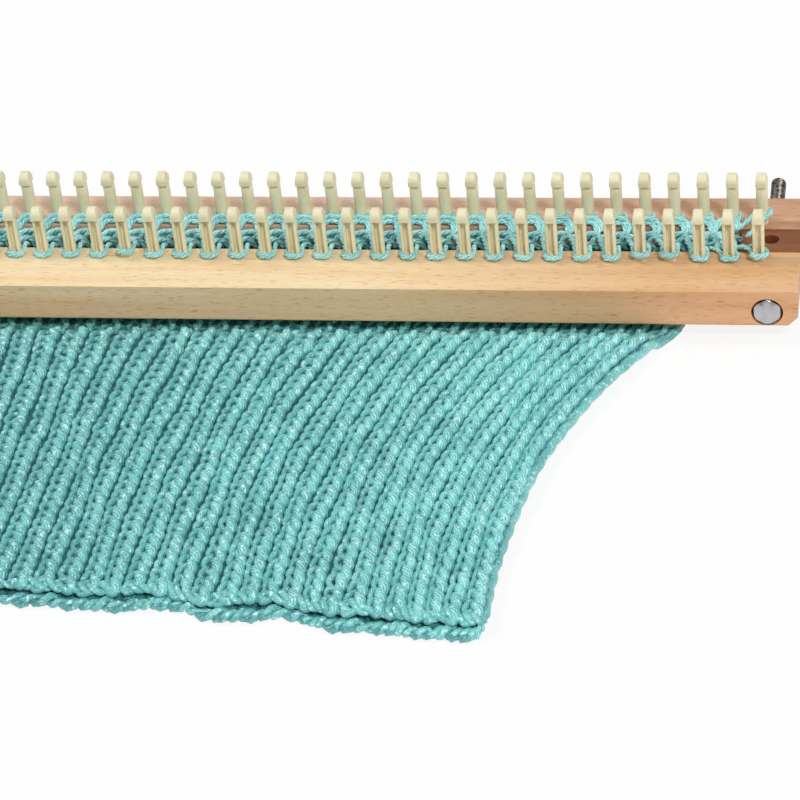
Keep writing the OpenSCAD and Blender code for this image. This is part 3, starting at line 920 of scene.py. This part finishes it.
def rearArcs():
    # a doubled strand across each rear peg's inner side, curled down on the right and back under itself
    upper = [(-4.2, -5.4, 0.0), (-3.2, -3.4, 1.7), (-1.4, -2.6, 2.9), (0.9, -2.6, 3.0),
             (2.9, -2.9, 2.5), (4.5, -4.6, 1.4), (4.5, -6.9, 0.6), (2.9, -8.0, 0.4),
             (0.6, -8.2, 0.3), (-1.8, -8.6, -0.4), (-3.4, -9.6, -2.0)]
    lower = [(-3.6, -6.2, -0.8), (-2.8, -4.2, 0.5), (-1.2, -3.1, 1.5), (0.8, -3.1, 1.5),
             (2.4, -3.6, 1.1), (3.4, -5.0, 0.2), (3.1, -6.6, -0.6), (1.6, -7.2, -1.3),
             (-0.4, -7.6, -1.7), (-2.0, -8.4, -2.6), (-3.2, -9.4, -3.8)]
    placed = [pegKnots(knots, 1, loop["arcShake"])[:-1] for knots in (upper, lower)]
    paths = np.concatenate([splinePaths(knots, loop["perSpan"]) for knots in placed])
    piece = pliedPiece("rearArcs", paths, loop["arcStrand"])
    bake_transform(piece)


def gapStrands():
    # the yarn that crosses between the rows, and four rows of purl bumps that fill the gap under it
    cross = np.array([(3.0, -8.6, 0.7), (4.2, -10.6, 0.9), (5.4, -13.0, 0.6), (6.2, -15.4, 0.3),
                      (6.6, -17.8, 0.0)])
    arch = np.array([(-3.7, -0.6, -2.6), (-2.3, 0.0, -0.6), (0.0, 0.3, 0.0), (2.3, 0.0, -0.5),
                     (3.7, -0.5, -2.6)])
    rows = {"gapCross": [cross, arch + (5.0, -9.8, 0.0)], "gapBumps": [arch + (0.2, -12.0, -0.7)],
            "gapDeepBumps": [arch + (4.8, -14.4, -4.0), arch + (0.4, -16.8, -6.2)]}
    for name, strands in rows.items():
        placed = [pegKnots(knots, 1, loop["gapShake"])[:-1] for knots in strands]
        paths = np.concatenate([splinePaths(knots, loop["gapPerSpan"]) for knots in placed])
        piece = pliedPiece(name, paths, loop["arcStrand"])
        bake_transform(piece)


frontLoops()
rearLoops()
rearArcs()
gapStrands()
print("loops hung on the pegs")


# Finish of the solids that stay

solidFinish = {
    "front_rail": railBeech,
    "rear_rail": shadedRearBeech,
    "spacer": shadedBlockBeech,
    "washer": zincSteel,
    "nut": zincSteel,
}
for node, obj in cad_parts.items():
    for ending, material in solidFinish.items():
        if node.endswith(ending):
            obj.data.materials.clear()
            obj.data.materials.append(material)
print("rails, blocks and nuts finished")


# Floor, light and camera

studio = {
    "floorSize": 6.0,       # metres, as the camera's place and aim are
    "floorLevel": -0.02,    # mm
    "floorShow": 0.86,      # share of plain white that the camera sees on the floor
    "key": (1.5, 8.0, 50.0, 33.0),      # strength, then softness, height and turn to the right in degrees
    "fill": (0.95, 8.0, 50.0, -97.0),
    "sky": 0.40,
    "place": (0.28433, -0.84447, 0.56759),
    "lookAt": (0.11721, -0.06261, 0.0),
    "roll": -6.19,
    "lens": 138.54,
    "sensor": 36.0,
}


def makeFloor():
    # a flat square under the board, white to the camera and in gloss, that keeps the shadow
    n = studio["floorSize"] / mm / 2
    x, y = np.meshgrid(np.linspace(n, -n, 3), np.linspace(-n, n, 3))
    mat, shader = newMaterial("paleFloor", Roughness=0.9, Base_Color=(0.93, 0.93, 0.93, 1.0))
    tree = mat.node_tree
    ray = addNode(mat, "LightPath")
    seen = addNode(mat, "Math", {"operation": "MAXIMUM"},
                   i0=ray.outputs["Is Camera Ray"], i1=ray.outputs["Is Glossy Ray"])
    share = addNode(mat, "Math", {"operation": "MULTIPLY"}, i0=seen.outputs[0], i1=studio["floorShow"])
    white = addNode(mat, "Emission", Strength=1.0)
    mix = addNode(mat, "MixShader", i0=share.outputs[0], i1=shader.outputs[0], i2=white.outputs[0])
    tree.links.new(mix.outputs[0], tree.nodes["Material Output"].inputs["Surface"])
    level = np.full_like(x, studio["floorLevel"])
    floor = gridPiece("floor", np.stack([x, y, level], -1)[None], mat, wrap=False)


def makeSky():
    # even light from all round, plain white to the camera
    world = bpy.data.worlds.new("studioSky")
    bpy.context.scene.world = world
    world.use_nodes = True
    tree = world.node_tree
    plain = tree.nodes["Background"]
    plain.inputs["Color"].default_value = fullWhite
    plain.inputs["Strength"].default_value = studio["sky"]
    white = tree.nodes.new("ShaderNodeBackground")
    white.inputs["Color"].default_value = fullWhite
    ray = tree.nodes.new("ShaderNodeLightPath")
    mix = tree.nodes.new("ShaderNodeMixShader")
    tree.links.new(ray.outputs["Is Camera Ray"], mix.inputs[0])
    tree.links.new(plain.outputs[0], mix.inputs[1])
    tree.links.new(white.outputs[0], mix.inputs[2])
    tree.links.new(mix.outputs[0], tree.nodes["World Output"].inputs["Surface"])


def makeSun(name, strength, softness, height, azimuth):
    # a sun at this height, turned to the right from straight in front
    lamp = bpy.data.lights.new(name, "SUN")
    lamp.energy = strength
    lamp.angle = math.radians(softness)
    sun = bpy.data.objects.new(name, lamp)
    bpy.context.scene.collection.objects.link(sun)
    high, turn = math.radians(height), math.radians(azimuth)
    towards = Vector((math.sin(turn) * math.cos(high), -math.cos(turn) * math.cos(high), math.sin(high)))
    sun.rotation_mode = "QUATERNION"
    sun.rotation_quaternion = towards.to_track_quat("Z", "Y")


def makeCamera():
    # aimed at a point on the table and rolled a little to match the photo
    lens = bpy.data.cameras.new("photoCamera")
    lens.lens = studio["lens"]
    lens.sensor_width = studio["sensor"]
    camera = bpy.data.objects.new("photoCamera", lens)
    bpy.context.scene.collection.objects.link(camera)
    place = Vector(studio["place"])
    aim = (Vector(studio["lookAt"]) - place).to_track_quat("-Z", "Y")
    camera.location = place
    camera.rotation_mode = "QUATERNION"
    camera.rotation_quaternion = aim @ Quaternion((0, 0, 1), math.radians(studio["roll"]))
    bpy.context.scene.camera = camera


makeFloor()
makeSky()
makeSun("keySun", *studio["key"])
makeSun("fillSun", *studio["fill"])
makeCamera()
bpy.context.scene.view_settings.view_transform = "Standard"
print("studio set")
